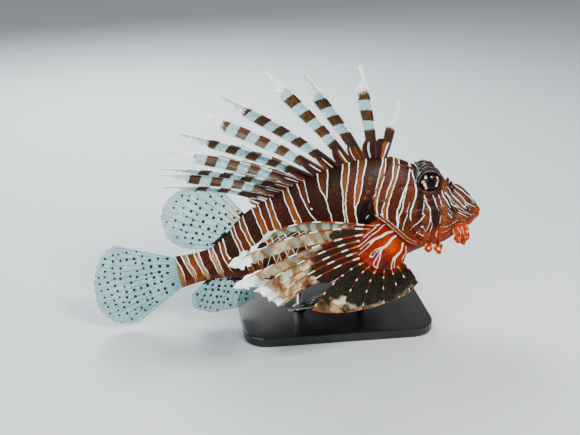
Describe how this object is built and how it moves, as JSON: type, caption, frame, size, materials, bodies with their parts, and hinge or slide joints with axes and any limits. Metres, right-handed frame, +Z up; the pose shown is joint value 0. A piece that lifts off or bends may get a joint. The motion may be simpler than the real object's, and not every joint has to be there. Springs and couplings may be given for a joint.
{
  "type": "red lionfish model on a display stand",
  "caption": "Life-size still model of a red lionfish with spread, banded fins and long dorsal spines, held over a flat base by short rods.",
  "frame": {"origin": "centre of the flat underside of the stand's base", "axes": "+X the way the fish faces, +Y its left, +Z up"},
  "size_m": [0.306, 0.2262, 0.2051],
  "materials": {
    "body_skin": "satin, brown-red bands between pale lines",
    "head_skin": "satin, fine pale and red-brown stripes",
    "fin_base_skin": "satin, orange-red with pale stripes",
    "banded_fin": "thin skin banded brown and clear",
    "spotted_fin": "clear thin skin with black spots",
    "eye": "glossy",
    "stand_lacquer": "satin black",
    "stand_steel": "brushed"
  },
  "bodies": {
    "root": {"head": "head_skin", "eye_right": "eye", "eye_left": "eye", "torso": "body_skin", "tail": "body_skin", "spiny_dorsal_fin": "banded_fin", "soft_dorsal_fin": "spotted_fin", "caudal_fin": "spotted_fin", "anal_fin": "spotted_fin", "pectoral_base_right": "fin_base_skin", "pectoral_base_left": "fin_base_skin", "pectoral_fin_right": "banded_fin", "pectoral_fin_left": "banded_fin", "pelvic_fin_right": "banded_fin", "pelvic_fin_left": "banded_fin", "stand_base": "stand_lacquer", "stand_rod_front": "stand_steel", "stand_rod_rear": "stand_steel"}
  },
  "joints": []
}
